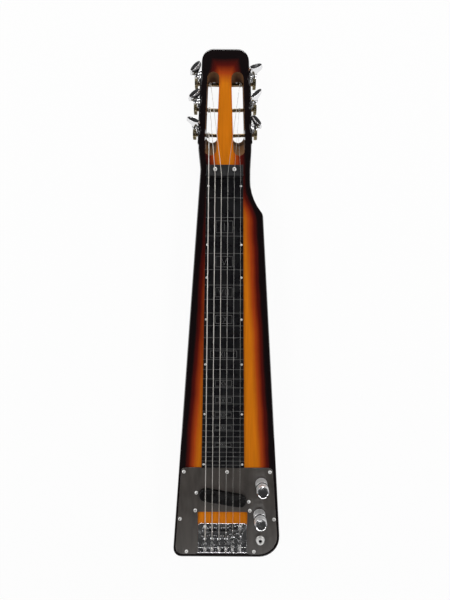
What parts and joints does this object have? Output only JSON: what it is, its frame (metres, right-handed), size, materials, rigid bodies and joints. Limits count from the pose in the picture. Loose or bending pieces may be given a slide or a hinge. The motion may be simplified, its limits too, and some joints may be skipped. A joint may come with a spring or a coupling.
{
  "type": "electric travel guitar",
  "caption": "Slim electric lap steel guitar: a tapered sunburst plank with a slotted head, geared tuners, a flat marked fretboard, a pickup, a bridge with sliding saddles, knobs and a jack.",
  "frame": {"origin": "on the flat back, under the bridge line and the strings' centre line", "axes": "+X across the strings to the treble side, +Y along the strings from the bridge to the head, +Z out of the playing face"},
  "size_m": [0.1759, 0.811, 0.0603],
  "materials": {
    "sunburst_wood": "amber to black sunburst under clear gloss lacquer",
    "fretboard_black": "black, with fine white printed lines",
    "nut_black": "satin black paint",
    "plate_grey": "dark anodised, finely brushed",
    "pickup_black": "black, moulded",
    "pickup_coil": "black flatwork round the coil",
    "chrome": "bright chrome plate",
    "steel": "bright steel",
    "brass": "aged brass",
    "post_bronze": "dark aged bronze",
    "string_steel": "plain and wound steel wire",
    "ring_rubber": "black rubber"
  },
  "bodies": {
    "guitar": {"body": "sunburst_wood", "fretboard": "fretboard_black", "nut": "nut_black", "control_plate": "plate_grey", "pickup_cover": "pickup_black", "pickup_coil": "pickup_coil", "volume_pot": "steel", "tone_pot": "steel", "output_jack": "chrome", "bridge_plate": "chrome", "bass_tuner_plate": "chrome", "treble_tuner_plate": "chrome", "string_1": "string_steel", "string_2": "string_steel", "string_3": "string_steel", "string_4": "string_steel", "string_5": "string_steel", "string_6": "string_steel", "intonation_spring_1": "steel", "intonation_spring_2": "steel", "intonation_spring_3": "steel", "intonation_spring_4": "steel", "intonation_spring_5": "steel", "intonation_spring_6": "steel"},
    "key_1": {"tuner_1_key": "chrome"},
    "roller_1": {"tuner_1_gear": "brass", "tuner_1_post": "post_bronze"},
    "key_2": {"tuner_2_key": "chrome"},
    "roller_2": {"tuner_2_gear": "brass", "tuner_2_post": "post_bronze"},
    "key_3": {"tuner_3_key": "chrome"},
    "roller_3": {"tuner_3_gear": "brass", "tuner_3_post": "post_bronze"},
    "key_4": {"tuner_4_key": "chrome"},
    "roller_4": {"tuner_4_gear": "brass", "tuner_4_post": "post_bronze"},
    "key_5": {"tuner_5_key": "chrome"},
    "roller_5": {"tuner_5_gear": "brass", "tuner_5_post": "post_bronze"},
    "key_6": {"tuner_6_key": "chrome"},
    "roller_6": {"tuner_6_gear": "brass", "tuner_6_post": "post_bronze"},
    "volume_control": {"volume_knob": "chrome", "volume_knob_ring": "ring_rubber", "volume_shaft": "brass"},
    "tone_control": {"tone_knob": "chrome", "tone_knob_ring": "ring_rubber", "tone_shaft": "brass"},
    "screw_1": {"intonation_screw_1": "steel"},
    "carriage_1": {"saddle_1": "chrome"},
    "screw_2": {"intonation_screw_2": "steel"},
    "carriage_2": {"saddle_2": "chrome"},
    "screw_3": {"intonation_screw_3": "steel"},
    "carriage_3": {"saddle_3": "chrome"},
    "screw_4": {"intonation_screw_4": "steel"},
    "carriage_4": {"saddle_4": "chrome"},
    "screw_5": {"intonation_screw_5": "steel"},
    "carriage_5": {"saddle_5": "chrome"},
    "screw_6": {"intonation_screw_6": "steel"},
    "carriage_6": {"saddle_6": "chrome"}
  },
  "joints": [
    {"name": "tuner_1_key_turn", "type": "hinge", "parent": "guitar", "child": "key_1", "pos_m": [0.0478, 0.65126, 0.028], "axis": [0, 0, 1], "continuous": true},
    {"name": "tuner_1_post_turn", "type": "hinge", "parent": "guitar", "child": "roller_1", "pos_m": [0.04812, 0.6423, 0.028], "axis": [0.9993, 0.0366, 0], "continuous": true},
    {"name": "tuner_2_key_turn", "type": "hinge", "parent": "guitar", "child": "key_2", "pos_m": [0.04637, 0.69023, 0.028], "axis": [0, 0, 1], "continuous": true},
    {"name": "tuner_2_post_turn", "type": "hinge", "parent": "guitar", "child": "roller_2", "pos_m": [0.0467, 0.68127, 0.028], "axis": [0.9993, 0.0366, 0], "continuous": true},
    {"name": "tuner_3_key_turn", "type": "hinge", "parent": "guitar", "child": "key_3", "pos_m": [0.04494, 0.7292, 0.028], "axis": [0, 0, 1], "continuous": true},
    {"name": "tuner_3_post_turn", "type": "hinge", "parent": "guitar", "child": "roller_3", "pos_m": [0.04527, 0.72025, 0.028], "axis": [0.9993, 0.0366, 0], "continuous": true},
    {"name": "tuner_4_key_turn", "type": "hinge", "parent": "guitar", "child": "key_4", "pos_m": [-0.04494, 0.7292, 0.028], "axis": [0, 0, 1], "continuous": true},
    {"name": "tuner_4_post_turn", "type": "hinge", "parent": "guitar", "child": "roller_4", "pos_m": [-0.04527, 0.72025, 0.028], "axis": [0.9993, -0.0366, 0], "continuous": true},
    {"name": "tuner_5_key_turn", "type": "hinge", "parent": "guitar", "child": "key_5", "pos_m": [-0.04637, 0.69023, 0.028], "axis": [0, 0, 1], "continuous": true},
    {"name": "tuner_5_post_turn", "type": "hinge", "parent": "guitar", "child": "roller_5", "pos_m": [-0.0467, 0.68127, 0.028], "axis": [0.9993, -0.0366, 0], "continuous": true},
    {"name": "tuner_6_key_turn", "type": "hinge", "parent": "guitar", "child": "key_6", "pos_m": [-0.0478, 0.65126, 0.028], "axis": [0, 0, 1], "continuous": true},
    {"name": "tuner_6_post_turn", "type": "hinge", "parent": "guitar", "child": "roller_6", "pos_m": [-0.04812, 0.6423, 0.028], "axis": [0.9993, -0.0366, 0], "continuous": true},
    {"name": "volume_turn", "type": "hinge", "parent": "guitar", "child": "volume_control", "pos_m": [0.0623, 0.0839, 0.05], "axis": [0, 0, 1], "range_deg": [-150, 150]},
    {"name": "tone_turn", "type": "hinge", "parent": "guitar", "child": "tone_control", "pos_m": [0.0598, 0.0321, 0.05], "axis": [0, 0, 1], "range_deg": [-150, 150]},
    {"name": "intonation_1_turn", "type": "hinge", "parent": "guitar", "child": "screw_1", "pos_m": [0.028, -0.027, 0.0432], "axis": [0, 1, 0], "range_deg": [-2160, 1440]},
    {"name": "saddle_1_slide", "type": "slide", "parent": "guitar", "child": "carriage_1", "axis": [0, 1, 0], "range_m": [-0.002, 0.003], "deforming": ["intonation_spring_1"]},
    {"name": "intonation_2_turn", "type": "hinge", "parent": "guitar", "child": "screw_2", "pos_m": [0.0168, -0.027, 0.0432], "axis": [0, 1, 0], "range_deg": [-2160, 1440]},
    {"name": "saddle_2_slide", "type": "slide", "parent": "guitar", "child": "carriage_2", "axis": [0, 1, 0], "range_m": [-0.002, 0.003], "deforming": ["intonation_spring_2"]},
    {"name": "intonation_3_turn", "type": "hinge", "parent": "guitar", "child": "screw_3", "pos_m": [0.0056, -0.027, 0.0432], "axis": [0, 1, 0], "range_deg": [-2160, 1440]},
    {"name": "saddle_3_slide", "type": "slide", "parent": "guitar", "child": "carriage_3", "axis": [0, 1, 0], "range_m": [-0.002, 0.003], "deforming": ["intonation_spring_3"]},
    {"name": "intonation_4_turn", "type": "hinge", "parent": "guitar", "child": "screw_4", "pos_m": [-0.0056, -0.027, 0.0432], "axis": [0, 1, 0], "range_deg": [-2160, 1440]},
    {"name": "saddle_4_slide", "type": "slide", "parent": "guitar", "child": "carriage_4", "axis": [0, 1, 0], "range_m": [-0.002, 0.003], "deforming": ["intonation_spring_4"]},
    {"name": "intonation_5_turn", "type": "hinge", "parent": "guitar", "child": "screw_5", "pos_m": [-0.0168, -0.027, 0.0432], "axis": [0, 1, 0], "range_deg": [-2160, 1440]},
    {"name": "saddle_5_slide", "type": "slide", "parent": "guitar", "child": "carriage_5", "axis": [0, 1, 0], "range_m": [-0.002, 0.003], "deforming": ["intonation_spring_5"]},
    {"name": "intonation_6_turn", "type": "hinge", "parent": "guitar", "child": "screw_6", "pos_m": [-0.028, -0.027, 0.0432], "axis": [0, 1, 0], "range_deg": [-2160, 1440]},
    {"name": "saddle_6_slide", "type": "slide", "parent": "guitar", "child": "carriage_6", "axis": [0, 1, 0], "range_m": [-0.002, 0.003], "deforming": ["intonation_spring_6"]}
  ],
  "couplings": [
    {"joint": "tuner_1_post_turn", "follows": "tuner_1_key_turn", "ratio": -0.071429},
    {"joint": "tuner_2_post_turn", "follows": "tuner_2_key_turn", "ratio": -0.071429},
    {"joint": "tuner_3_post_turn", "follows": "tuner_3_key_turn", "ratio": -0.071429},
    {"joint": "tuner_4_post_turn", "follows": "tuner_4_key_turn", "ratio": -0.071429},
    {"joint": "tuner_5_post_turn", "follows": "tuner_5_key_turn", "ratio": -0.071429},
    {"joint": "tuner_6_post_turn", "follows": "tuner_6_key_turn", "ratio": -0.071429},
    {"joint": "intonation_1_turn", "follows": "saddle_1_slide", "rad_per_m": -12566},
    {"joint": "intonation_2_turn", "follows": "saddle_2_slide", "rad_per_m": -12566},
    {"joint": "intonation_3_turn", "follows": "saddle_3_slide", "rad_per_m": -12566},
    {"joint": "intonation_4_turn", "follows": "saddle_4_slide", "rad_per_m": -12566},
    {"joint": "intonation_5_turn", "follows": "saddle_5_slide", "rad_per_m": -12566},
    {"joint": "intonation_6_turn", "follows": "saddle_6_slide", "rad_per_m": -12566}
  ]
}
